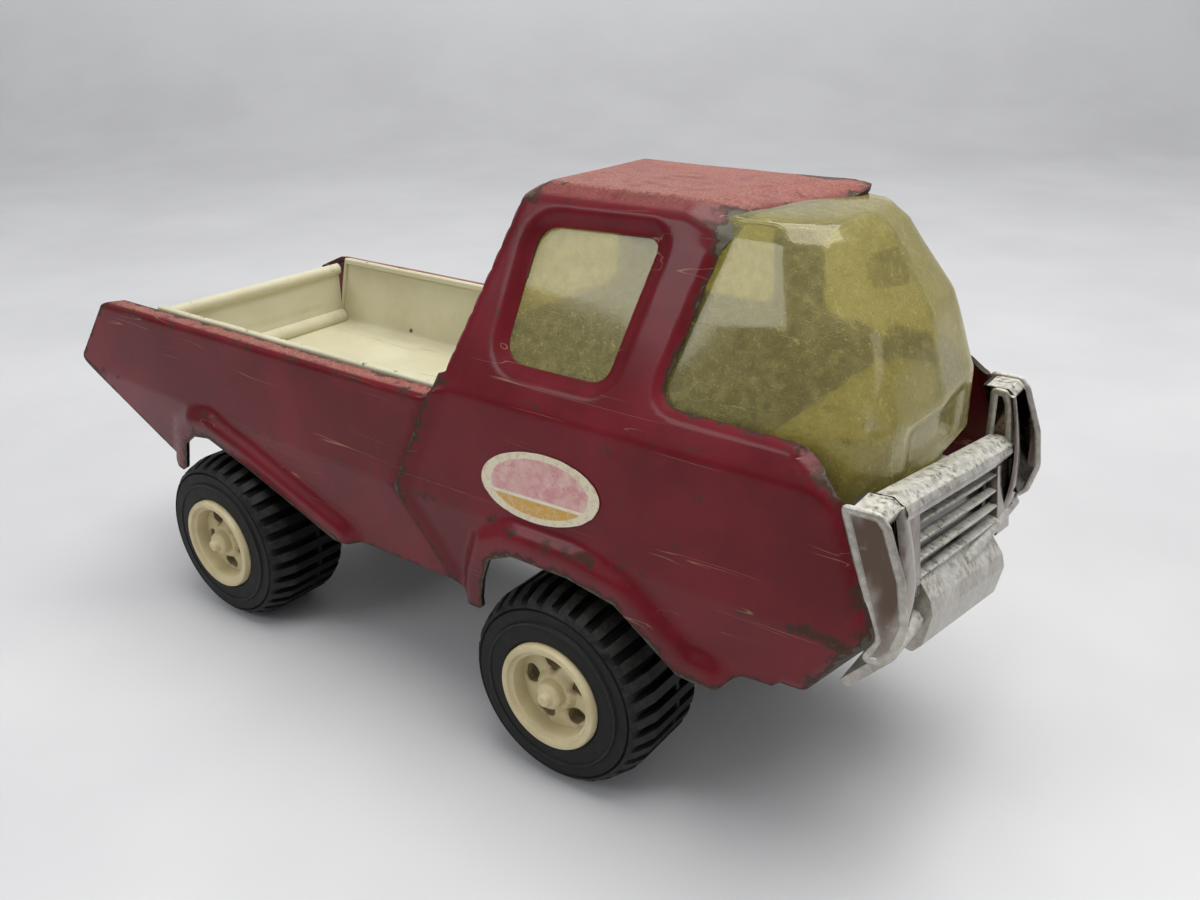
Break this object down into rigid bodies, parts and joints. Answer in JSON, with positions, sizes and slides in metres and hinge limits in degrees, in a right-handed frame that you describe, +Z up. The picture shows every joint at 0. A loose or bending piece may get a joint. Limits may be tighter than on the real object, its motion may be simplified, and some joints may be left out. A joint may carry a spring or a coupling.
{
  "type": "push along truck",
  "caption": "Snub-nosed pressed steel toy pickup with a moulded window cab, plated grille, bed liner with a drop tailgate, and free-turning wheels on steel axles.",
  "frame": {"origin": "on the ground under the middle of the truck's length and width", "axes": "+X to the truck's front, +Y to its left, +Z up"},
  "size_m": [0.24, 0.0932, 0.12],
  "materials": {
    "red_enamel": "satin",
    "cream_enamel": "satin",
    "bare_steel": "satin",
    "clear_plastic": "gloss",
    "plated_plastic": "gloss",
    "cream_plastic": "matte",
    "grey_plastic": "matte",
    "label_foil": "satin",
    "tyre_rubber": "matte",
    "hub_plastic": "satin"
  },
  "bodies": {
    "truck": {"cab_shell": "red_enamel", "bed_shell": "red_enamel", "bed_liner": "cream_enamel", "tailgate_rod": "bare_steel", "chassis": "bare_steel", "cab_crossmember": "bare_steel", "bed_rivets": "bare_steel", "tray_screws": "bare_steel", "front_axle": "bare_steel", "rear_axle": "bare_steel", "window_moulding": "clear_plastic", "grille_bumper": "plated_plastic", "interior_tray": "cream_plastic", "seat_left": "grey_plastic", "seat_right": "grey_plastic", "label_left": "label_foil", "label_right": "label_foil"},
    "tailgate": {"tailgate": "cream_enamel"},
    "wheel_front_left": {"tyre_front_left": "tyre_rubber", "hub_front_left": "hub_plastic", "hub_cap_front_left": "hub_plastic"},
    "wheel_front_right": {"tyre_front_right": "tyre_rubber", "hub_front_right": "hub_plastic", "hub_cap_front_right": "hub_plastic"},
    "wheel_rear_left": {"tyre_rear_left": "tyre_rubber", "hub_rear_left": "hub_plastic", "hub_cap_rear_left": "hub_plastic"},
    "wheel_rear_right": {"tyre_rear_right": "tyre_rubber", "hub_rear_right": "hub_plastic", "hub_cap_rear_right": "hub_plastic"}
  },
  "joints": [
    {"name": "tailgate_hinge", "type": "hinge", "parent": "truck", "child": "tailgate", "pos_m": [-0.0908, 0, 0.0594], "axis": [0, -1, 0], "range_deg": [0, 90]},
    {"name": "wheel_front_left_spin", "type": "hinge", "parent": "truck", "child": "wheel_front_left", "pos_m": [0.0515, 0.032, 0.0222], "axis": [0, 1, 0], "continuous": true},
    {"name": "wheel_front_right_spin", "type": "hinge", "parent": "truck", "child": "wheel_front_right", "pos_m": [0.0515, -0.032, 0.0222], "axis": [0, 1, 0], "continuous": true},
    {"name": "wheel_rear_left_spin", "type": "hinge", "parent": "truck", "child": "wheel_rear_left", "pos_m": [-0.058, 0.032, 0.0222], "axis": [0, 1, 0], "continuous": true},
    {"name": "wheel_rear_right_spin", "type": "hinge", "parent": "truck", "child": "wheel_rear_right", "pos_m": [-0.058, -0.032, 0.0222], "axis": [0, 1, 0], "continuous": true}
  ]
}
